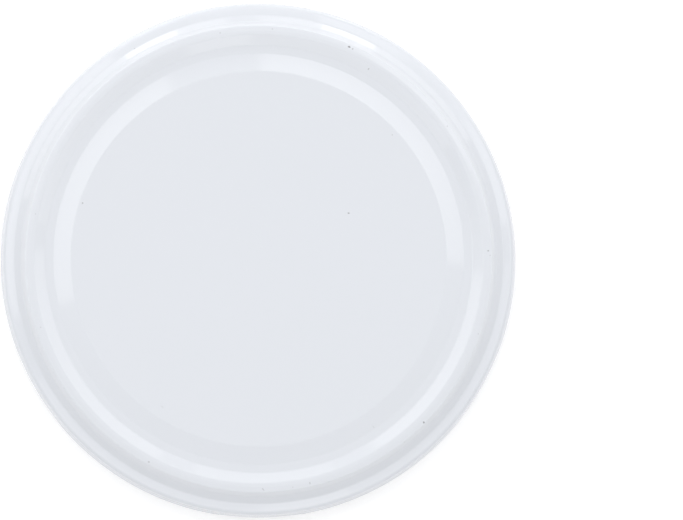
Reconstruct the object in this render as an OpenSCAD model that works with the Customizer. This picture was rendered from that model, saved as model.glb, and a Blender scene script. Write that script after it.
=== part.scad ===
// Twist-off lid for an 82 mm jar, pressed and rolled from one round of lacquered tinplate,
// with a ring of sealing compound flowed into the underside of its ridge.
// Millimetres. The lid stands on its rolled rim, with its axis on Z and its panel on top.

/* [Lid] */
// Outside diameter over the rolled rim
lid_d = 85; // [66:0.5:105]
// Height from the underside of the rim to the top of the sealing ridge
lid_h = 9.8; // [9:0.1:13]
// Thickness of the tinplate
sheet_t = 0.18; // [0.15:0.01:0.24]

/* [Panel] */
// How far the flat panel lies below the top of the ridge
panel_drop = 0.2; // [0:0.05:0.4]
// Width of the sloping step round the panel
step_w = 2.95; // [2:0.05:5]
// How far the step falls from the panel to the valley
step_fall = 0.5; // [0.3:0.05:0.9]
// Radius of the bends at the top and foot of the step
step_bend = 1.2; // [0.6:0.1:3]
// Width of the flat valley between the step and the ridge
valley_w = 1.35; // [0.8:0.05:3]

/* [Sealing ridge] */
// Width of the slope from the valley up to the ridge
ridge_slope_w = 1.75; // [1.2:0.05:2.5]
// Width of the level land on top of the ridge
ridge_land_w = 0.6; // [0.3:0.05:1.2]
// Width of the part of the ridge that falls gently outwards
ridge_fall_w = 0.85; // [0.5:0.05:1.5]
// How far that part falls
ridge_fall = 0.1; // [0.05:0.05:0.25]
// Width of the steep outer wall, seen from above
wall_w = 1.5; // [1:0.05:2]
// Height of the steep outer wall
wall_h = 2.25; // [1.8:0.05:2.8]
// Radius of the bends on the ridge
ridge_bend = 0.8; // [0.5:0.1:1.2]
// Radius of the bends at the top and foot of the wall
wall_bend = 1.3; // [0.8:0.1:1.8]

/* [Skirt] */
// Width of the ledge between the wall and the face of the skirt
ledge_w = 2.35; // [1.8:0.05:3]
// How far the ledge falls
ledge_fall = 0.6; // [0.3:0.05:0.9]
// Radius of the shoulder where the ledge turns down into the skirt
shoulder_r = 1.6; // [1:0.1:2.2]

/* [Rolled rim] */
// How far the roll stands out past the skirt
roll_bulge = 0.35; // [0.15:0.05:0.6]
// Width of the roll, outside to inside
roll_w = 1.4; // [1.2:0.05:1.8]
// Height of the roll
roll_h = 2; // [1.7:0.05:2.4]
// Gap between the tucked-in edge of the sheet and the skirt
roll_gap = 0.12; // [0.06:0.02:0.2]

/* [Lugs] */
// Number of lugs
lug_count = 6; // [4:1:8]
// Length of a lug's straight tip along the rim
lug_l = 8.5; // [6:0.5:11]
// Length over which the roll flattens into the lug on either side
lug_ramp = 3.4; // [2:0.2:5]
// How far the lug reaches in past the roll
lug_reach = 1.35; // [0.8:0.05:1.8]
// Thickness of the flattened lug
lug_t = 0.95; // [0.8:0.05:1.2]
// Height of the lug's underside above the underside of the rim
lug_lift = 0.25; // [0.1:0.05:0.5]

/* [Sealing ring] */
// Depth of the sealing compound under the ridge
seal_t = 1.15; // [0.9:0.05:1.4]
// How far the compound runs in under the valley
seal_run = 0.6; // [0.3:0.05:0.7]
// How far the compound reaches down the inside of the wall
seal_reach = 1.9; // [1.7:0.05:2.1]
// Radius where the compound's face turns towards the wall and the valley
seal_bend = 0.7; // [0.3:0.1:1]

/* [Hidden] */
$fn = 180;
lacquer_white = "#E5E8EE";
compound_grey = "#D9D7D0";

// Radii of the visible surface, from the rim inwards
rim_r = lid_d / 2;
skirt_r = rim_r - roll_bulge;
ledge_r = skirt_r - ledge_w;
ridge_out_r = ledge_r - wall_w;
ridge_land_r = ridge_out_r - ridge_fall_w;
ridge_in_r = ridge_land_r - ridge_land_w;
valley_r = ridge_in_r - ridge_slope_w;
step_r = valley_r - valley_w;
panel_r = step_r - step_w;

// Heights of the visible surface
panel_z = lid_h - panel_drop;
valley_z = panel_z - step_fall;
ridge_out_z = lid_h - ridge_fall;
ledge_z = ridge_out_z - wall_h;
shoulder_z = ledge_z - ledge_fall;

// The rolled rim joins the skirt at this height, by a tongue thinner than the sheet
neck_l = 0.9;
join_z = roll_h + neck_l;
tongue_inset = 0.05;
tongue_l = 0.25;
tongue_gap = 0.01;

// Radii of the roll and of the lugs, on the face of the sheet
roll_in_r = rim_r - roll_w;
roll_edge_r = skirt_r - sheet_t - roll_gap;
lug_tip_r = roll_in_r - lug_reach;

// The skirt swells out into the roll between these heights
neck_z = roll_h + neck_l / 3;
swell_z = roll_h * 2 / 3;
neck_bend = 0.8;

// Bends of the roll where it turns back to the skirt, and its tucked-in edge
roll_top_bend = 0.6;
roll_edge_bend = 0.34;
roll_edge_l = 0.8;

// At a lug the roll's outer wall is drawn in a little and its bends are tighter
lug_wall_r = rim_r - 0.05;
lug_top_z = lug_lift + lug_t;
lug_foot_bend = 0.7;
lug_edge_bend = 0.3;
lug_edge_l = 0.5;

// Steps of the bends in the body, and stations round one lug's share of the rim
bend_steps = 8;
plain_steps = 4;
ramp_steps = 3;
tip_steps = 4;

// Angles taken by half a lug, by its ramp and by half the plain roll between two lugs
pitch_a = 360 / lug_count;
lug_a = lug_l / 2 / lug_tip_r * 180 / PI;
ramp_a = lug_ramp / lug_tip_r * 180 / PI;
plain_a = pitch_a / 2 - lug_a - ramp_a;

// Corners of the visible surface down to the skirt: radius, height, bend radius, bend steps
body_corners = [
    [0, panel_z],
    [panel_r, panel_z, step_bend, bend_steps],
    [step_r, valley_z, step_bend, bend_steps],
    [valley_r, valley_z, ridge_bend, bend_steps],
    [ridge_in_r, lid_h, ridge_bend, bend_steps],
    [ridge_land_r, lid_h, ridge_bend, bend_steps],
    [ridge_out_r, ridge_out_z, wall_bend, bend_steps],
    [ledge_r, ledge_z, wall_bend, bend_steps],
    [skirt_r, shoulder_z, shoulder_r, bend_steps],
    [skirt_r, join_z]
];
valley_corner = 3;
ridge_out_corner = 6;

// Corners of the roll between two lugs, down the skirt and round to the tucked-in edge
roll_corners = [
    [skirt_r, join_z - 2 * tongue_gap],
    [skirt_r, neck_z, neck_bend, 1],
    [rim_r, swell_z, neck_bend, 1],
    [rim_r, 0, roll_w / 2, 3],
    [roll_in_r, 0, roll_w / 2, 3],
    [roll_in_r, roll_h, roll_top_bend, 2],
    [roll_edge_r, roll_h, roll_edge_bend, 1],
    [roll_edge_r, roll_h - roll_edge_l]
];

// Corners of the roll where it is flattened into a lug
lug_corners = [
    [skirt_r, join_z - 2 * tongue_gap],
    [skirt_r, neck_z, neck_bend, 1],
    [lug_wall_r, swell_z, neck_bend, 1],
    [lug_wall_r, lug_lift, lug_foot_bend, 3],
    [lug_tip_r, lug_lift, lug_t / 2, 3],
    [lug_tip_r, lug_top_z, lug_t / 2, 2],
    [roll_edge_r, lug_top_z, lug_edge_bend, 1],
    [roll_edge_r, lug_top_z - lug_edge_l]
];

// Plane geometry
function unit(v) = v / norm(v);
function left_of(v) = [-v.y, v.x];
function turned(v, a) = [v.x * cos(a) - v.y * sin(a), v.x * sin(a) + v.y * cos(a)];
function turn_between(u, v) = atan2(cross(u, v), u * v);
function reversed(list) = [for (i = [len(list) - 1 : -1 : 0]) list[i]];
function mixed(a, b, share) = a * (1 - share) + b * share;
function eased(x) = x * x * (3 - 2 * x);
function place(corner) = [corner[0], corner[1]];

// Direction from one corner to the next
function heading(corners, k) = unit(place(corners[k + 1]) - place(corners[k]));

// One corner rounded by its bend radius, or less where a side is short: a list of [point, outward normal]
function bend(corners, k) =
    let (
        here = place(corners[k]),
        u = heading(corners, k - 1),
        turn = turn_between(u, heading(corners, k)),
        room = min(norm(here - place(corners[k - 1])), norm(place(corners[k + 1]) - here)) / 2,
        reach = min(corners[k][2] * tan(abs(turn) / 2), room),
        radius = reach / tan(abs(turn) / 2) * sign(turn),
        centre = here - reach * u + radius * left_of(u),
        steps = corners[k][3]
    )
    [
        for (i = [0 : steps])
            let (normal = turned(left_of(u), turn * i / steps))
            [centre - radius * normal, normal]
    ];

// The visible side of the sheet, along all its corners
function face(corners) =
    let (last = len(corners) - 1)
    concat(
        [[place(corners[0]), left_of(heading(corners, 0))]],
        [for (k = [1 : last - 1]) each bend(corners, k)],
        [[place(corners[last]), left_of(heading(corners, last - 1))]]
    );

// A line along the sheet at a given depth below its visible side
function at_depth(path, depth) = [for (p = path) p[0] - depth * p[1]];

// Closed outline of the sheet
function sheet(path) = concat(at_depth(path, 0), reversed(at_depth(path, sheet_t)));

// Outline of the rim, with the tongue that goes up into the skirt
function rim_outline(corners) =
    let (
        out_r = skirt_r - tongue_inset,
        in_r = skirt_r - sheet_t + tongue_inset,
        root_z = join_z - tongue_gap,
        top_z = join_z + tongue_l
    )
    concat(
        [[out_r, top_z], [out_r, root_z]],
        sheet(face(corners)),
        [[in_r, root_z], [in_r, top_z]]
    );

// Stations round one lug's share of the rim: angle from the lug, and how far the roll is flattened
pitch_stations = [
    for (i = [0 : plain_steps - 1]) [-pitch_a / 2 + plain_a * i / plain_steps, 0],
    for (i = [0 : ramp_steps - 1]) [-lug_a - ramp_a + ramp_a * i / ramp_steps, eased(i / ramp_steps)],
    for (i = [0 : tip_steps - 1]) [-lug_a + 2 * lug_a * i / tip_steps, 1],
    for (i = [0 : ramp_steps - 1]) [lug_a + ramp_a * i / ramp_steps, eased(1 - i / ramp_steps)],
    for (i = [0 : plain_steps - 1]) [lug_a + ramp_a + plain_a * i / plain_steps, 0]
];
rim_stations = [
    for (k = [0 : lug_count - 1])
        for (s = pitch_stations)
            [pitch_a * (k + 0.5) + s[0], s[1]]
];

// Panel, step, valley, ridge, wall, ledge and skirt in one bent sheet
module pressed_body() {
    rotate_extrude()
        polygon(sheet(face(body_corners)));
}

// Rolled rim: one outline carried round the lid, flattened into a lug at each station of a lug
module rolled_rim() {
    roll = rim_outline(roll_corners);
    lug = rim_outline(lug_corners);
    count = len(roll);
    rings = len(rim_stations);
    points = [
        for (s = rim_stations)
            for (p = mixed(roll, lug, s[1]))
                [p.x * cos(s[0]), p.x * sin(s[0]), p.y]
    ];
    faces = [
        for (k = [0 : rings - 1])
            for (i = [0 : count - 1])
                let (
                    next_k = (k + 1) % rings,
                    next_i = (i + 1) % count,
                    a = k * count + i,
                    b = k * count + next_i,
                    c = next_k * count + next_i,
                    d = next_k * count + i
                )
                each [[a, c, b], [a, d, c]]
    ];
    polyhedron(points, faces);
}

// The tinplate shell, one piece from the middle of the panel to the edge tucked into the roll
module lid_shell() {
    color(lacquer_white)
    union() {
        pressed_body();
        rolled_rim();
    }
}

// The underside of the sheet along a stretch of its visible side
function under(path) = at_depth(path, sheet_t);

// The point on the inside of the wall at a given height
function wall_point(z) =
    let (
        above = under(bend(body_corners, ridge_out_corner)),
        below = under(bend(body_corners, ridge_out_corner + 1)),
        top = above[len(above) - 1],
        foot = below[0]
    )
    mixed(top, foot, (top.y - z) / (top.y - foot.y));

// Outline of the sealing compound: up against the sheet, and free towards the jar
function seal_outline() =
    let (
        face_z = lid_h - sheet_t - seal_t,
        wall_end = wall_point(lid_h - seal_reach),
        valley_end = [valley_r - seal_run, valley_z - sheet_t],
        free_corners = [
            [wall_end.x, wall_end.y],
            [ridge_out_r - seal_bend / 3, face_z, seal_bend, bend_steps],
            [valley_r, face_z, seal_bend, bend_steps],
            [valley_end.x, valley_end.y]
        ]
    )
    concat(
        [valley_end],
        [for (k = [valley_corner : ridge_out_corner]) each under(bend(body_corners, k))],
        at_depth(face(free_corners), 0)
    );

// Ring of sealing compound, flowed into the channel under the ridge
module sealing_ring() {
    color(compound_grey)
    rotate_extrude()
        polygon(seal_outline());
}

lid_shell();
sealing_ring();
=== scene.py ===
"""Dresses a white lacquered twist-off jar lid: pressed shell, rolled rim with lugs, and sealing ring."""
import math

import bpy
from bpy.props import FloatProperty, FloatVectorProperty, IntProperty, PointerProperty
from bpy.types import Operator, Panel, PropertyGroup
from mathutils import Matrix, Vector


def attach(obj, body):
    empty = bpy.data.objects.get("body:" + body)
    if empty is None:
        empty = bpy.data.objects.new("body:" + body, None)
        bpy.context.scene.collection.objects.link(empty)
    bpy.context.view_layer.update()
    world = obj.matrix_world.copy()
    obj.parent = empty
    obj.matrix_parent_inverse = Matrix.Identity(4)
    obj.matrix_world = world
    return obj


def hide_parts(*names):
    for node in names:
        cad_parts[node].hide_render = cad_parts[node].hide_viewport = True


bl_info = {
    "name": "Twist-off jar lid",
    "version": (1, 0, 0),
    "blender": (4, 5, 0),
    "location": "3D View > Sidebar > Jar Lid",
    "description": "Builds a pressed and lacquered jar lid with its sealing ring on a packed part",
    "category": "Add Mesh",
}

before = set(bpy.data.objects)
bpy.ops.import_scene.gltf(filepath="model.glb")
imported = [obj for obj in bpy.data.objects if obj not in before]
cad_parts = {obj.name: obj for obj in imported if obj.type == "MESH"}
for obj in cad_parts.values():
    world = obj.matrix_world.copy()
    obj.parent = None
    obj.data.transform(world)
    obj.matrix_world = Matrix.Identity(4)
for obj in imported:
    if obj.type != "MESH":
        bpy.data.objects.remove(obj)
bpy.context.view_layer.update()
MM = 0.001


# Sizes and colours that a user would change

def length(name, description, default):
    """A length setting, written in millimetres and kept in metres."""
    return FloatProperty(
        name=name, description=description, default=default * MM, min=0, unit="LENGTH", precision=5
    )


def share(name, description, default, highest=1):
    """A plain number from 0 to its highest value."""
    return FloatProperty(name=name, description=description, default=default, min=0, max=highest)


def degrees(name, description, default):
    """An angle setting, written in degrees and kept in radians."""
    return FloatProperty(
        name=name, description=description, default=math.radians(default), subtype="ANGLE"
    )


def colour(name, description, default):
    """A linear colour setting."""
    return FloatVectorProperty(
        name=name, description=description, default=default, size=3, min=0, max=1, subtype="COLOR"
    )


class ShellSizes(PropertyGroup):
    """Sizes of the pressed shell."""

    lid_r: length("Rim radius", "Outside radius over the rolled rim", 42.5)
    lid_h: length("Height", "From the foot of the rim to the top of the ridge", 9.8)
    sheet_t: length("Sheet", "Thickness of the tinplate", 0.18)
    panel_drop: length("Panel drop", "How far the panel lies below the top of the ridge", 0.2)
    step_w: length("Step width", "Width of the sloping step round the panel", 2.95)
    step_fall: length("Step fall", "How far the step falls from the panel to the valley", 0.5)
    step_bend: length("Step bend", "Radius of the bends at the top and foot of the step", 1.2)
    valley_w: length("Valley width", "Width of the flat valley between step and ridge", 1.35)
    slope_w: length("Ridge slope width", "Width of the slope from the valley up to the ridge", 1.75)
    land_w: length("Ridge land width", "Width of the level land on top of the ridge", 0.6)
    fall_w: length("Ridge fall width", "Width of the part of the ridge that falls outwards", 0.85)
    fall: length("Ridge fall", "How far that part falls", 0.1)
    ridge_bend: length("Ridge bend", "Radius of the bends on the ridge", 0.8)
    wall_w: length("Wall width", "Width of the outer wall, seen from above", 1.85)
    wall_h: length("Wall height", "Height of the outer wall", 2.34)
    steep_w: length("Steep part width", "Width of the wall's steeper upper part, seen from above", 0.8)
    steep_h: length("Steep part height", "Height of that upper part", 1.45)
    wall_top_bend: length("Wall top bend", "Radius of the bend at the top of the wall", 0.35)
    wall_bend: length("Wall bend", "Radius of the bends in the wall and at its foot", 0.8)
    ledge_w: length("Ledge width", "Width of the ledge between the wall and the skirt", 2.0)
    ledge_fall: length("Ledge fall", "How far the ledge falls", 0.51)
    shoulder_r: length("Shoulder", "Radius where the ledge turns down into the skirt", 1.1)
    bulge: length("Roll bulge", "How far the roll stands out past the skirt", 0.35)
    roll_w: length("Roll width", "Width of the roll, outside to inside", 1.4)
    roll_h: length("Roll height", "Height of the roll", 2)
    roll_gap: length("Roll gap", "Gap between the tucked-in edge and the skirt", 0.12)
    neck_l: length("Neck", "Length of skirt that swells out into the roll", 0.9)
    edge_l: length("Tucked edge", "Length of the tucked-in edge of the sheet", 0.8)
    neck_bend: length("Neck bend", "Radius of the bends where the skirt swells out into the roll", 0.8)
    roll_top_bend: length("Roll top bend", "Radius of the bend at the inner top of the roll", 0.6)
    roll_edge_bend: length("Roll edge bend", "Radius of the bend where the edge is tucked in", 0.34)
    lug_l: length("Lug length", "Length of a lug's straight tip along the rim", 8.5)
    lug_ramp: length("Lug ramp", "Length over which the roll flattens into a lug", 3.4)
    lug_reach: length("Lug reach", "How far a lug reaches in past the roll", 1.35)
    lug_t: length("Lug thickness", "Thickness of the flattened lug", 0.95)
    lug_lift: length("Lug lift", "Height of a lug's underside above the foot of the rim", 0.25)
    lug_in: length("Lug wall", "How far the outside of the roll is drawn in at a lug", 0.08)
    lug_foot_bend: length("Lug foot bend", "Radius of the bend at the foot of a lug's wall", 0.7)
    lug_edge_bend: length("Lug edge bend", "Radius of the bend where a lug's edge is tucked in", 0.3)
    lug_edge_l: length("Lug edge", "Length of the tucked-in edge at a lug", 0.5)
    lug_count: IntProperty(name="Lugs", description="Number of lugs round the rim", default=6, min=3)
    rounds: IntProperty(name="Rounds", description="Steps round the whole lid", default=324, min=60)


class SealSizes(PropertyGroup):
    """Sizes of the ring of sealing compound."""

    depth: length("Depth", "Depth of the compound under the ridge", 1.15)
    run: length("Run", "How far the compound runs in under the valley", 0.6)
    reach: length("Reach", "How far the compound reaches down the inside of the wall", 1.9)
    bend: length("Bend", "Radius where its face turns towards wall and valley", 0.7)
    rounds: IntProperty(name="Rounds", description="Steps round the whole ring", default=360, min=60)


class Finishes(PropertyGroup):
    """Colours and gloss."""

    white: colour("White", "Lacquer on the shell", (0.80, 0.825, 0.875))
    shade: colour("Shade", "Lacquer where it is a little thinner", (0.794, 0.821, 0.869))
    steel: colour("Steel", "Tinplate that shows through a chip", (0.33, 0.33, 0.34))
    lacquer_rough: share("Lacquer roughness", "Roughness under the top gloss", 0.3)
    gloss_rough: share("Gloss roughness", "Roughness of the top gloss", 0.05)
    compound: colour("Compound", "Sealing compound", (0.71, 0.69, 0.64))
    compound_dark: colour("Compound shade", "Darker clouds in the compound", (0.66, 0.64, 0.585))
    compound_rough: share("Compound roughness", "Roughness of the compound", 0.42)


class StageSettings(PropertyGroup):
    """Camera, lamps and floor."""

    distance: length("Camera distance", "From the camera to the lid", 1200)
    lean_back: degrees("Lean back", "How far the camera leans towards the near side", 2.0)
    lean_left: degrees("Lean left", "How far the camera leans towards the left", 0.8)
    ambient: share("Ambient", "Brightness of the surroundings as the lid sees them", 0.56, 2)
    key: share("Key", "Brightness of the wide lamps", 1.0, 10)
    strip: share("Strip", "Brightness of the small lamps low on the far side", 3.0, 20)
    floor_glow: share("Floor glow", "Brightness added to the floor as the camera sees it", 0.27)


# Plane geometry of the sheet's section

def left_of(direction):
    """The direction a quarter turn to the left."""
    return Vector((-direction.y, direction.x))


def turned(vector, angle):
    """A vector turned to the left by an angle."""
    return Vector((
        vector.x * math.cos(angle) - vector.y * math.sin(angle),
        vector.x * math.sin(angle) + vector.y * math.cos(angle),
    ))


def bend(before, here, after, radius, steps):
    """One rounded corner, as pairs of a point and the direction out of the sheet."""
    arriving = (here - before).normalized()
    leaving = (after - here).normalized()
    turn = math.atan2(arriving.cross(leaving), arriving.dot(leaving))
    room = min((here - before).length, (after - here).length) / 2
    tangent = math.tan(abs(turn) / 2)
    reach = min(radius * tangent, room)
    centre_side = math.copysign(reach / tangent, turn)
    centre = here - reach * arriving + centre_side * left_of(arriving)
    normals = [turned(left_of(arriving), turn * i / steps) for i in range(steps + 1)]
    return [(centre - centre_side * normal, normal) for normal in normals]


def straight(start, end, margin):
    """Two points on a straight stretch, close to its ends, that keep the bends' shading off it."""
    (first, normal), (last, _) = start, end
    along = last - first
    step = along.normalized() * min(margin, along.length / 3)
    return [(first + step, normal), (last - step, normal)]


def side(corners, steps, margin=0.1 * MM):
    """One side of the sheet through corners of (radius, height, bend radius)."""
    places = [Vector(corner[:2]) for corner in corners]
    start = (places[1] - places[0]).normalized()
    end = (places[-1] - places[-2]).normalized()
    path = [(places[0], left_of(start))]
    for k in range(1, len(corners) - 1):
        rounded = bend(places[k - 1], places[k], places[k + 1], corners[k][2], steps)
        path += straight(path[-1], rounded[0], margin) + rounded
    last = (places[-1], left_of(end))
    return path + straight(path[-1], last, margin) + [last]


def at_depth(path, depth):
    """A side of the sheet, moved down into it."""
    return [point - depth * normal for point, normal in path]


class LidSection:
    """Radii, heights and corners of the shell's section, worked out from its sizes."""

    def __init__(self, sizes):
        self.sizes = sizes
        self.skirt_r = sizes.lid_r - sizes.bulge
        self.ledge_r = self.skirt_r - sizes.ledge_w
        self.ridge_out_r = self.ledge_r - sizes.wall_w
        self.land_r = self.ridge_out_r - sizes.fall_w
        self.ridge_in_r = self.land_r - sizes.land_w
        self.valley_r = self.ridge_in_r - sizes.slope_w
        self.step_r = self.valley_r - sizes.valley_w
        self.panel_r = self.step_r - sizes.step_w
        self.panel_z = sizes.lid_h - sizes.panel_drop
        self.valley_z = self.panel_z - sizes.step_fall
        self.ridge_out_z = sizes.lid_h - sizes.fall
        self.ledge_z = self.ridge_out_z - sizes.wall_h
        self.shoulder_z = self.ledge_z - sizes.ledge_fall
        self.roll_in_r = sizes.lid_r - sizes.roll_w
        self.edge_r = self.skirt_r - sizes.sheet_t - sizes.roll_gap
        self.lug_tip_r = self.roll_in_r - sizes.lug_reach

    def pressed(self):
        """Corners from the middle of the panel to the shoulder."""
        s = self.sizes
        return [
            (0, self.panel_z, 0),
            (self.panel_r, self.panel_z, s.step_bend),
            (self.step_r, self.valley_z, s.step_bend),
            (self.valley_r, self.valley_z, s.ridge_bend),
            (self.ridge_in_r, s.lid_h, s.ridge_bend),
            (self.land_r, s.lid_h, s.ridge_bend),
            (self.ridge_out_r, self.ridge_out_z, s.wall_top_bend),
            (self.ridge_out_r + s.steep_w, self.ridge_out_z - s.steep_h, s.wall_bend),
            (self.ledge_r, self.ledge_z, s.wall_bend),
            (self.skirt_r, self.shoulder_z, s.shoulder_r),
        ]

    def roll(self):
        """Corners of the roll between two lugs."""
        s = self.sizes
        return [
            (self.skirt_r, s.roll_h + s.neck_l / 3, s.neck_bend),
            (s.lid_r, s.roll_h * 2 / 3, s.neck_bend),
            (s.lid_r, 0, s.roll_w / 2),
            (self.roll_in_r, 0, s.roll_w / 2),
            (self.roll_in_r, s.roll_h, s.roll_top_bend),
            (self.edge_r, s.roll_h, s.roll_edge_bend),
            (self.edge_r, s.roll_h - s.edge_l, 0),
        ]

    def lug(self):
        """Corners of the roll where it is flattened into a lug."""
        s = self.sizes
        wall_r = s.lid_r - s.lug_in
        top = s.lug_lift + s.lug_t
        return [
            (self.skirt_r, s.roll_h + s.neck_l / 3, s.neck_bend),
            (wall_r, s.roll_h * 2 / 3, s.neck_bend),
            (wall_r, s.lug_lift, s.lug_foot_bend),
            (self.lug_tip_r, s.lug_lift, s.lug_t / 2),
            (self.lug_tip_r, top, s.lug_t / 2),
            (self.edge_r, top, s.lug_edge_bend),
            (self.edge_r, top - s.lug_edge_l, 0),
        ]

    def outline(self, rim):
        """Both sides of the sheet, from the axis round the rim and back to the axis."""
        corners = self.pressed() + rim
        outside = at_depth(side(corners, steps=9), 0)
        inside = at_depth(side(corners, steps=4), self.sizes.sheet_t)
        return outside + inside[::-1]

    def underside(self, first, last, steps=6):
        """The underside of the pressed part between two of its corners."""
        corners = self.pressed() + self.roll()
        points = []
        for k in range(first, last + 1):
            before, here, after = (Vector(corner[:2]) for corner in corners[k - 1:k + 2])
            rounded = bend(before, here, after, corners[k][2], steps)
            points += at_depth(rounded, self.sizes.sheet_t)
        return points

    def height_at(self, radius):
        """Height of the lid's face at a radius, inside the skirt."""
        path = at_depth(side(self.pressed(), steps=6), 0)
        for inner, outer in zip(path, path[1:]):
            if inner.x <= radius <= outer.x:
                return inner.y + (outer.y - inner.y) * (radius - inner.x) / (outer.x - inner.x)
        return self.shoulder_z

    def wall_point(self, z):
        """The point on the inside of the wall's lower part at a given height."""
        top = self.underside(7, 7)[-1]
        foot = self.underside(8, 8)[0]
        return top.lerp(foot, (top.y - z) / (top.y - foot.y))

    def seal(self, seal):
        """Closed outline of the sealing compound."""
        s = self.sizes
        face_z = s.lid_h - s.sheet_t - seal.depth
        wall_end = self.wall_point(s.lid_h - seal.reach)
        valley_end = Vector((self.valley_r - seal.run, self.valley_z - s.sheet_t))
        free = side([
            (*wall_end, 0),
            (self.ridge_out_r - seal.bend / 3, face_z, seal.bend),
            (self.valley_r, face_z, seal.bend),
            (*valley_end, 0),
        ], steps=10)
        return [valley_end] + self.underside(3, 7) + at_depth(free, 0)


# Helpers that build node trees

def put(tree, kind, inputs=None, **settings):
    """Adds a node, with its settings and with values or links on its inputs."""
    node = tree.nodes.new(kind)
    for name, value in settings.items():
        setattr(node, name, value)
    for key, value in (inputs or {}).items():
        if isinstance(value, bpy.types.NodeSocket):
            tree.links.new(value, node.inputs[key])
        else:
            node.inputs[key].default_value = value
    return node


def calc(tree, operation, *values):
    """Adds a Math node and returns its result."""
    return put(tree, "ShaderNodeMath", dict(enumerate(values)), operation=operation).outputs[0]


def remap(tree, value, from_min, from_max, to_min, to_max, smooth=False):
    """Adds a Map Range node and returns its result."""
    inputs = {"Value": value, "From Min": from_min, "From Max": from_max, "To Min": to_min, "To Max": to_max}
    kind = "SMOOTHSTEP" if smooth else "LINEAR"
    return put(tree, "ShaderNodeMapRange", inputs, interpolation_type=kind, clamp=True).outputs["Result"]


def group_tree(name, kind, inputs, outputs):
    """Starts a node group with named sockets, and returns it with its input and output nodes."""
    tree = bpy.data.node_groups.new(name, kind)
    for label, socket_type, default in inputs:
        socket = tree.interface.new_socket(label, in_out="INPUT", socket_type=socket_type)
        if default is not None:
            socket.default_value = default
    for label, socket_type in outputs:
        tree.interface.new_socket(label, in_out="OUTPUT", socket_type=socket_type)
    return tree, put(tree, "NodeGroupInput"), put(tree, "NodeGroupOutput")


# Geometry nodes: a section carried round the axis, flattened at each lug

def carried_section_tree():
    """Carries a section's points round the Z axis, moving each to its place in a lug where there is one."""
    tree, given, result = group_tree("Section carried round", "GeometryNodeTree", [
        ("Section", "NodeSocketGeometry", None),
        ("Rounds", "NodeSocketInt", 360),
        ("Lugs", "NodeSocketInt", 6),
        ("Tip half angle", "NodeSocketFloat", 0.1),
        ("Ramp angle", "NodeSocketFloat", 0.1),
        ("Material", "NodeSocketMaterial", None),
    ], [("Mesh", "NodeSocketGeometry")])
    given = given.outputs
    size = put(tree, "GeometryNodeAttributeDomainSize", {"Geometry": given["Section"]}, component="MESH")
    count = size.outputs["Point Count"]
    grid = put(tree, "GeometryNodeMeshGrid", {
        "Size X": 1.0, "Size Y": 1.0, "Vertices X": count,
        "Vertices Y": calc(tree, "ADD", given["Rounds"], 1),
    })
    spot = put(tree, "ShaderNodeSeparateXYZ", {0: put(tree, "GeometryNodeInputPosition").outputs[0]})
    along = calc(tree, "ADD", spot.outputs["X"], 0.5)
    index = calc(tree, "ROUND", calc(tree, "MULTIPLY", along, calc(tree, "SUBTRACT", count, 1)))
    angle = calc(tree, "MULTIPLY", calc(tree, "ADD", spot.outputs["Y"], 0.5), math.tau)

    pitch = calc(tree, "DIVIDE", math.tau, given["Lugs"])
    within = calc(tree, "FRACT", calc(tree, "DIVIDE", angle, pitch))
    off_lug = calc(tree, "MULTIPLY", calc(tree, "ABSOLUTE", calc(tree, "SUBTRACT", within, 0.5)), pitch)
    tip = given["Tip half angle"]
    flattened = remap(tree, off_lug, tip, calc(tree, "ADD", tip, given["Ramp angle"]), 1.0, 0.0, smooth=True)

    places = []
    roll_place = put(tree, "GeometryNodeInputPosition").outputs[0]
    lug_place = put(
        tree, "GeometryNodeInputNamedAttribute", {"Name": "lug_place"}, data_type="FLOAT_VECTOR"
    ).outputs[0]
    for value in (roll_place, lug_place):
        sample = put(
            tree, "GeometryNodeSampleIndex", data_type="FLOAT_VECTOR", domain="POINT",
            inputs={"Geometry": given["Section"], "Value": value, "Index": index},
        )
        places.append(sample.outputs[0])
    between = put(tree, "ShaderNodeMix", data_type="VECTOR")
    tree.links.new(flattened, between.inputs[0])
    tree.links.new(places[0], between.inputs[4])
    tree.links.new(places[1], between.inputs[5])
    round_z = put(
        tree, "ShaderNodeVectorRotate", {"Vector": between.outputs[1], "Angle": angle}, rotation_type="Z_AXIS"
    )
    placed = put(tree, "GeometryNodeSetPosition", {
        "Geometry": grid.outputs["Mesh"], "Position": round_z.outputs[0],
    })
    closed = put(tree, "GeometryNodeMergeByDistance", {"Geometry": placed.outputs[0], "Distance": 0.5e-6})
    smooth = put(tree, "GeometryNodeSetShadeSmooth", {"Geometry": closed.outputs[0]})
    real = put(tree, "GeometryNodeRealizeInstances", {"Geometry": smooth.outputs[0]})
    dressed = put(tree, "GeometryNodeSetMaterial", {
        "Geometry": real.outputs[0], "Material": given["Material"],
    })
    tree.links.new(dressed.outputs[0], result.inputs[0])
    return tree


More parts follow.
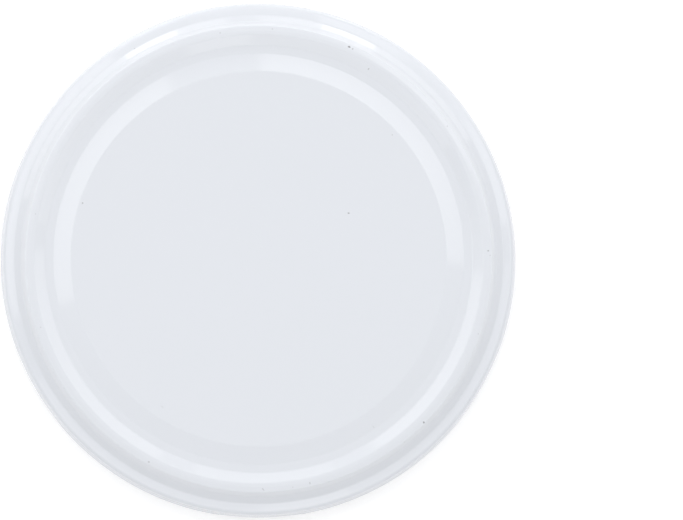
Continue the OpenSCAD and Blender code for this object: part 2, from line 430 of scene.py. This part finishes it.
def carry_round(name, outline, lug_outline, material, values):
    """Makes a plain mesh object from a section and the section it has at a lug."""
    section = bpy.data.meshes.new(name)
    section.from_pydata([(p.x, 0, p.y) for p in outline], [(i, i + 1) for i in range(len(outline) - 1)], [])
    lug_place = section.attributes.new("lug_place", "FLOAT_VECTOR", "POINT")
    for i, p in enumerate(lug_outline):
        lug_place.data[i].vector = (p.x, 0, p.y)
    piece = bpy.data.objects.new(name, section)
    bpy.context.scene.collection.objects.link(piece)
    tree = bpy.data.node_groups.get("Section carried round") or carried_section_tree()
    modifier = piece.modifiers.new("Section carried round", "NODES")
    modifier.node_group = tree
    sockets = {item.name: item.identifier for item in tree.interface.items_tree if item.in_out == "INPUT"}
    for label, value in {**values, "Material": material}.items():
        modifier[sockets[label]] = value
    depsgraph = bpy.context.evaluated_depsgraph_get()
    mesh = bpy.data.meshes.new_from_object(piece.evaluated_get(depsgraph))
    piece.modifiers.remove(modifier)
    piece.data = mesh
    bpy.data.meshes.remove(section)
    mesh.name = name
    return piece


# Shader groups

def coat_texture_group():
    """Faint ripple and clouds of a sprayed and baked coat."""
    tree, given, result = group_tree("Coat texture", "ShaderNodeTree", [
        ("Place", "NodeSocketVector", None),
        ("Ripple per mm", "NodeSocketFloat", 0.8),
        ("Cloud per mm", "NodeSocketFloat", 0.05),
    ], [("Ripple", "NodeSocketFloat"), ("Clouds", "NodeSocketFloat")])
    given = given.outputs
    settings = (
        ("Ripple", calc(tree, "MULTIPLY", given["Ripple per mm"], 1000), 2.0),
        ("Clouds", calc(tree, "MULTIPLY", given["Cloud per mm"], 1000), 3.0),
    )
    for label, scale, detail in settings:
        noise = put(tree, "ShaderNodeTexNoise", {
            "Vector": given["Place"], "Scale": scale, "Detail": detail, "Roughness": 0.55,
        })
        tree.links.new(noise.outputs["Fac"], result.inputs[label])
    return tree


# Shares of a chip's half size within which it is at full strength, and beyond which it is gone
CHIP_WHOLE = 0.55
CHIP_GONE = 1.1


def scuff_group():
    """A small chip or tick at one place, drawn out along one direction, with a ragged edge."""
    tree, given, result = group_tree("Scuff", "ShaderNodeTree", [
        ("Place", "NodeSocketVector", None),
        ("Ragged", "NodeSocketFloat", 0.0),
        ("Middle", "NodeSocketVector", None),
        ("Turn", "NodeSocketVector", None),
        ("Half size", "NodeSocketVector", None),
        ("Strength", "NodeSocketFloat", 1.0),
    ], [("Mask", "NodeSocketFloat")])
    given = given.outputs
    own = put(tree, "ShaderNodeMapping", {
        "Vector": given["Place"], "Location": given["Middle"], "Rotation": given["Turn"], "Scale": given["Half size"],
    }, vector_type="TEXTURE")
    gap = put(tree, "ShaderNodeVectorMath", {0: own.outputs[0]}, operation="LENGTH")
    edge = calc(tree, "ADD", gap.outputs["Value"], given["Ragged"])
    mask = remap(tree, edge, CHIP_WHOLE, CHIP_GONE, given["Strength"], 0.0, smooth=True)
    tree.links.new(mask, result.inputs["Mask"])
    return tree


def specks_group():
    """Tiny random specks that keep to one ring round the axis."""
    tree, given, result = group_tree("Specks on a ring", "ShaderNodeTree", [
        ("Place", "NodeSocketVector", None),
        ("Ring radius", "NodeSocketFloat", 0.038),
        ("Ring width", "NodeSocketFloat", 0.001),
        ("Specks per mm", "NodeSocketFloat", 0.5),
        ("Radius", "NodeSocketFloat", 0.0001),
        ("Lowest", "NodeSocketFloat", 0.009),
    ], [("Mask", "NodeSocketFloat")])
    given = given.outputs
    scale = calc(tree, "MULTIPLY", given["Specks per mm"], 1000)
    cells = put(tree, "ShaderNodeTexVoronoi", {"Vector": given["Place"], "Scale": scale})
    reach = calc(tree, "DIVIDE", cells.outputs["Distance"], calc(tree, "MULTIPLY", scale, given["Radius"]))
    chance = put(tree, "ShaderNodeSeparateColor", {0: cells.outputs["Color"]})
    size = remap(tree, chance.outputs["Red"], 0.6, 1.0, 0.0, 1.0)
    speck = remap(tree, calc(tree, "SUBTRACT", reach, size), -0.15, 0.1, 1.0, 0.0)
    flat = put(tree, "ShaderNodeVectorMath", {0: given["Place"], 1: (1.0, 1.0, 0.0)}, operation="MULTIPLY")
    radius = put(tree, "ShaderNodeVectorMath", {0: flat.outputs[0]}, operation="LENGTH").outputs["Value"]
    off_ring = calc(tree, "ABSOLUTE", calc(tree, "SUBTRACT", radius, given["Ring radius"]))
    half = calc(tree, "DIVIDE", given["Ring width"], 2.0)
    on_ring = remap(tree, calc(tree, "DIVIDE", off_ring, half), 0.6, 1.0, 1.0, 0.0)
    upper = put(tree, "ShaderNodeSeparateXYZ", {0: given["Place"]}).outputs["Z"]
    on_top = calc(tree, "GREATER_THAN", upper, given["Lowest"])
    mask = calc(tree, "MULTIPLY", calc(tree, "MULTIPLY", speck, on_ring), on_top)
    tree.links.new(mask, result.inputs["Mask"])
    return tree


def shader_group(tree, name, builder, inputs):
    """Places a shared group in a material and returns its outputs."""
    group = bpy.data.node_groups.get(name) or builder()
    return put(tree, "ShaderNodeGroup", inputs, node_tree=group).outputs


def blank_material(name):
    """A material that holds only its shader, and its tree."""
    material = bpy.data.materials.new(name)
    material.use_nodes = True
    tree = material.node_tree
    return material, tree, tree.nodes["Principled BSDF"]


def mixed_colour(tree, factor, first, second):
    """Mixes two colours by a factor and returns the result."""
    node = put(tree, "ShaderNodeMix", data_type="RGBA")
    for index, value in ((0, factor), (6, first), (7, second)):
        if isinstance(value, bpy.types.NodeSocket):
            tree.links.new(value, node.inputs[index])
        else:
            node.inputs[index].default_value = value
    return node.outputs[2]


# Chips and ticks seen in the lacquer: place as angle in degrees and radius in millimetres, half width in
# millimetres, how many times longer than wide, direction in degrees and depth of tone
CHIPS = (
    (66.9, 37.8, 0.17, 1.7, -35, 1.0),
    (65.9, 37.75, 0.14, 1.2, -25, 0.5),
    (315.2, 38.1, 0.17, 1.2, 120, 0.85),
    (27.0, 16.5, 0.15, 1.4, -10, 0.7),
    (162.5, 30.3, 0.15, 1.1, 60, 0.6),
    (2.0, 37.65, 0.15, 1.3, 0, 0.6),
    (241.6, 37.9, 0.15, 1.3, -20, 0.5),
    (60.0, 36.0, 0.11, 2.6, 50, 0.55),
    (120.5, 40.2, 0.13, 1.2, 30, 0.35),
    (42.9, 29.9, 0.13, 1.0, 0, 0.35),
    (282.8, 37.75, 0.13, 1.6, 95, 0.4),
    (99.7, 37.6, 0.13, 1.1, 40, 0.35),
    (308.5, 38.4, 0.13, 1.2, 130, 0.35),
    (271.1, 37.85, 0.12, 2.6, -45, 0.35),
    (35.1, 37.85, 0.13, 1.2, 0, 0.3),
    (341.1, 38.05, 0.13, 1.0, 0, 0.28),
    (86.6, 37.8, 0.13, 1.2, 20, 0.3),
    (278.4, 37.9, 0.13, 1.0, 0, 0.25),
    (168.7, 37.35, 0.13, 1.2, 90, 0.25),
    (197.5, 37.5, 0.13, 1.0, 0, 0.25),
    (304.3, 33.4, 0.1, 3.5, -50, 0.2),
    (236.9, 29.0, 0.1, 3.5, -40, 0.18),
)


def lacquer_material(finish, section):
    """Glossy white lacquer over tinplate, with a few chips on the ridge and the panel's edge."""
    material, tree, shader = blank_material("white_lacquer")
    place = put(tree, "ShaderNodeTexCoord").outputs["Object"]
    coat = shader_group(tree, "Coat texture", coat_texture_group, {"Place": place})
    ragged = put(tree, "ShaderNodeTexNoise", {"Vector": place, "Scale": 4000.0, "Detail": 3.0}).outputs["Fac"]
    ragged = calc(tree, "MULTIPLY_ADD", ragged, 1.6, -0.8)
    worn = 0.0
    for angle, radius, half_width, stretch, direction, strength in CHIPS:
        angle = math.radians(angle)
        middle = (radius * MM * math.cos(angle), radius * MM * math.sin(angle), section.height_at(radius * MM))
        chip = shader_group(tree, "Scuff", scuff_group, {
            "Place": place,
            "Ragged": ragged,
            "Middle": middle,
            "Turn": (0, 0, math.radians(direction)),
            "Half size": (stretch * half_width * MM, half_width * MM, half_width * MM),
            "Strength": strength,
        })
        worn = calc(tree, "MAXIMUM", worn, chip["Mask"])
    ridge_r = (section.ridge_in_r + section.ridge_out_r) / 2
    for ring, width in ((ridge_r, 1.6 * MM), (section.panel_r - 0.5 * MM, 1.0 * MM)):
        specks = shader_group(tree, "Specks on a ring", specks_group, {
            "Place": place, "Ring radius": ring, "Ring width": width,
        })
        worn = calc(tree, "MAXIMUM", worn, calc(tree, "MULTIPLY", specks["Mask"], 0.35))
    clouds = remap(tree, coat["Clouds"], 0.25, 0.75, 0.0, 1.0)
    base = mixed_colour(tree, clouds, (*finish.white, 1), (*finish.shade, 1))
    tree.links.new(mixed_colour(tree, worn, base, (*finish.steel, 1)), shader.inputs["Base Color"])
    rough = calc(tree, "MULTIPLY_ADD", worn, 0.3, finish.lacquer_rough)
    tree.links.new(rough, shader.inputs["Roughness"])
    tree.links.new(calc(tree, "SUBTRACT", 1.0, worn), shader.inputs["Coat Weight"])
    height = calc(tree, "SUBTRACT", calc(tree, "MULTIPLY", coat["Ripple"], 0.25), worn)
    bump = put(tree, "ShaderNodeBump", {"Height": height, "Strength": 0.25, "Distance": 0.00002})
    tree.links.new(bump.outputs["Normal"], shader.inputs["Normal"])
    shader.inputs["Coat Roughness"].default_value = finish.gloss_rough
    shader.inputs["Specular IOR Level"].default_value = 0.25
    shader.inputs["IOR"].default_value = 1.45
    return material


def compound_material(finish):
    """Satin sealing compound with faint clouds and a soft flow ripple."""
    material, tree, shader = blank_material("sealing_compound")
    place = put(tree, "ShaderNodeTexCoord").outputs["Object"]
    coat = shader_group(tree, "Coat texture", coat_texture_group, {
        "Place": place, "Ripple per mm": 1.6, "Cloud per mm": 0.12,
    })
    clouds = remap(tree, coat["Clouds"], 0.35, 0.65, 0.0, 1.0)
    base = mixed_colour(tree, clouds, (*finish.compound, 1), (*finish.compound_dark, 1))
    tree.links.new(base, shader.inputs["Base Color"])
    shader.inputs["Roughness"].default_value = finish.compound_rough
    bump = put(tree, "ShaderNodeBump", {"Height": coat["Ripple"], "Strength": 0.35, "Distance": 0.00005})
    tree.links.new(bump.outputs["Normal"], shader.inputs["Normal"])
    return material


# Stage

PHOTO_WIDTH = 683
PHOTO_HEIGHT = 520
LID_MIDDLE_X = 258.1
LID_MIDDLE_Y = 260.5
LID_RADIUS = 257.3
SENSOR = 36.0


# Wide lamps: azimuth and elevation in degrees, width and height in metres, share of the key's brightness
SOFTBOXES = (
    ("key_right", 44, 64, 0.62, 0.28, 1.3),
    ("key_left", 155, 64, 0.62, 0.28, 1.3),
    ("side_right", 30, 45, 1.1, 0.28, 1.0),
    ("side_middle", 90, 45, 0.4, 0.28, 0.65),
    ("side_left", 150, 45, 1.3, 0.28, 1.2),
    ("low_right", 60, 10, 1.1, 0.25, 1.05),
    ("low_left", 130, 10, 1.3, 0.25, 1.05),
    ("fill_right", 315, 55, 0.9, 0.42, 0.7),
    ("fill_front", 250, 55, 0.9, 0.42, 0.75),
)


# Small lamps low on the far side, which draw the two crisp highlights on the wall: azimuth and elevation in
# degrees, width and height in metres
STRIPS = (
    ("strip_right", 68, 9, 0.225, 0.2),
    ("strip_left", 115, 9, 0.225, 0.2),
)


def aim(piece, place, target, up):
    """Puts a lamp or camera at a place, looking at a target."""
    piece.location = place
    forward = (Vector(target) - Vector(place)).normalized()
    right = forward.cross(Vector(up)).normalized()
    above = right.cross(forward)
    turn = piece.matrix_world.to_3x3()
    turn.col[0], turn.col[1], turn.col[2] = right, above, -forward
    piece.rotation_euler = turn.to_euler()


def add_camera(stage, lid_r):
    """The camera looks almost straight down, with the lid off to the left as in the photo."""
    data = bpy.data.cameras.new("camera")
    camera = bpy.data.objects.new("camera", data)
    bpy.context.scene.collection.objects.link(camera)
    rise = (-math.sin(stage.lean_left), -math.sin(stage.lean_back), 1)
    target = Vector((0, 0, 0.001))
    aim(camera, target + Vector(rise).normalized() * stage.distance, target, (0, 1, 0))
    width = PHOTO_WIDTH * lid_r / LID_RADIUS
    data.sensor_width = SENSOR
    data.lens = SENSOR * stage.distance / width
    data.shift_x = (PHOTO_WIDTH / 2 - LID_MIDDLE_X) / PHOTO_WIDTH
    data.shift_y = (LID_MIDDLE_Y - PHOTO_HEIGHT / 2) / PHOTO_WIDTH
    data.clip_start = 0.01
    bpy.context.scene.camera = camera


def add_softbox(name, azimuth, elevation, width, height, brightness, distance=1.0):
    """A flat lamp aimed at the lid, whose face has the given brightness."""
    data = bpy.data.lights.new(name, "AREA")
    data.shape = "RECTANGLE"
    data.size = width
    data.size_y = height
    data.energy = brightness * math.pi * width * height
    lamp = bpy.data.objects.new(name, data)
    bpy.context.scene.collection.objects.link(lamp)
    azimuth = math.radians(azimuth)
    elevation = math.radians(elevation)
    place = distance * Vector((
        math.cos(elevation) * math.cos(azimuth), math.cos(elevation) * math.sin(azimuth), math.sin(elevation),
    ))
    aim(lamp, place, (0, 0, 0), (0, 0, 1))
    lamp.visible_camera = False


def add_floor(stage):
    """A pale floor that the camera sees as white, apart from the lid's own soft shadow."""
    mesh = bpy.data.meshes.new("floor")
    reach = 3.0
    corners = [(-reach, -reach, 0), (reach, -reach, 0), (reach, reach, 0), (-reach, reach, 0)]
    mesh.from_pydata(corners, [], [(0, 1, 2, 3)])
    floor = bpy.data.objects.new("floor", mesh)
    bpy.context.scene.collection.objects.link(floor)
    material, tree, shader = blank_material("floor_white")
    shader.inputs["Base Color"].default_value = (0.92, 0.92, 0.92, 1)
    shader.inputs["Roughness"].default_value = 0.9
    shader.inputs["Specular IOR Level"].default_value = 0
    shader.inputs["Emission Color"].default_value = (1, 1, 1, 1)
    path = put(tree, "ShaderNodeLightPath").outputs
    seen = calc(tree, "MAXIMUM", path["Is Camera Ray"], path["Is Transmission Ray"])
    seen = calc(tree, "MAXIMUM", seen, path["Is Glossy Ray"])
    tree.links.new(calc(tree, "MULTIPLY", seen, stage.floor_glow), shader.inputs["Emission Strength"])
    mesh.materials.append(material)


def add_world(stage):
    """Plain pale surroundings, white where the camera looks straight at them."""
    world = bpy.data.worlds.new("surroundings")
    world.use_nodes = True
    tree = world.node_tree
    tree.nodes.clear()
    path = put(tree, "ShaderNodeLightPath").outputs
    seen = calc(tree, "MAXIMUM", path["Is Camera Ray"], path["Is Transmission Ray"])
    strength = remap(tree, seen, 0.0, 1.0, stage.ambient, 1.0)
    background = put(tree, "ShaderNodeBackground", {"Color": (1, 1, 1, 1), "Strength": strength})
    put(tree, "ShaderNodeOutputWorld", {"Surface": background.outputs[0]})
    bpy.context.scene.world = world


# Operators

class JARLID_OT_shell(Operator):
    """Build the lacquered shell: panel, ridge, skirt, rolled rim and lugs"""

    bl_idname = "jarlid.shell"
    bl_label = "Lid shell"

    def execute(self, context):
        scene = context.scene
        section = LidSection(scene.jarlid_shell)
        material = lacquer_material(scene.jarlid_finish, section)
        outline = section.outline(section.roll())
        lug_outline = section.outline(section.lug())
        shell = carry_round("lid_shell_lacquered", outline, lug_outline, material, {
            "Rounds": scene.jarlid_shell.rounds,
            "Lugs": scene.jarlid_shell.lug_count,
            "Tip half angle": scene.jarlid_shell.lug_l / 2 / section.lug_tip_r,
            "Ramp angle": scene.jarlid_shell.lug_ramp / section.lug_tip_r,
        })
        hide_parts("lid_shell")
        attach(shell, "root")
        return {"FINISHED"}


class JARLID_OT_sealing_ring(Operator):
    """Build the ring of sealing compound under the ridge"""

    bl_idname = "jarlid.sealing_ring"
    bl_label = "Sealing ring"

    def execute(self, context):
        scene = context.scene
        section = LidSection(scene.jarlid_shell)
        outline = section.seal(scene.jarlid_seal)
        outline.append(outline[0])
        ring = carry_round("sealing_ring_flowed", outline, outline, compound_material(scene.jarlid_finish), {
            "Rounds": scene.jarlid_seal.rounds,
        })
        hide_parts("sealing_ring")
        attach(ring, "root")
        return {"FINISHED"}


class JARLID_OT_stage(Operator):
    """Add the camera, the lamps, the floor and the surroundings"""

    bl_idname = "jarlid.stage"
    bl_label = "Stage"

    def execute(self, context):
        scene = context.scene
        stage = scene.jarlid_stage
        add_camera(stage, scene.jarlid_shell.lid_r)
        for name, azimuth, elevation, width, height, level in SOFTBOXES:
            add_softbox(name, azimuth, elevation, width, height, stage.key * level)
        for name, azimuth, elevation, width, height in STRIPS:
            add_softbox(name, azimuth, elevation, width, height, stage.strip)
        add_floor(stage)
        add_world(stage)
        scene.view_settings.view_transform = "Standard"
        return {"FINISHED"}


class JARLID_PT_panel(Panel):
    """Lists the steps that build the jar lid"""

    bl_idname = "JARLID_PT_panel"
    bl_label = "Jar Lid"
    bl_space_type = "VIEW_3D"
    bl_region_type = "UI"
    bl_category = "Jar Lid"

    def draw(self, context):
        for step in STEPS:
            self.layout.operator(step.bl_idname)


STEPS = (JARLID_OT_shell, JARLID_OT_sealing_ring, JARLID_OT_stage)
SETTINGS = {
    "jarlid_shell": ShellSizes,
    "jarlid_seal": SealSizes,
    "jarlid_finish": Finishes,
    "jarlid_stage": StageSettings,
}


def register():
    for settings in SETTINGS.values():
        bpy.utils.register_class(settings)
    for step in STEPS:
        bpy.utils.register_class(step)
    bpy.utils.register_class(JARLID_PT_panel)
    for name, settings in SETTINGS.items():
        setattr(bpy.types.Scene, name, PointerProperty(type=settings))


def unregister():
    for name in SETTINGS:
        delattr(bpy.types.Scene, name)
    bpy.utils.unregister_class(JARLID_PT_panel)
    for step in reversed(STEPS):
        bpy.utils.unregister_class(step)
    for settings in SETTINGS.values():
        bpy.utils.unregister_class(settings)


def main():
    """Builds the whole part."""
    register()
    bpy.ops.jarlid.stage()
    bpy.ops.jarlid.shell()
    bpy.ops.jarlid.sealing_ring()


if __name__ == "__main__":
    main()
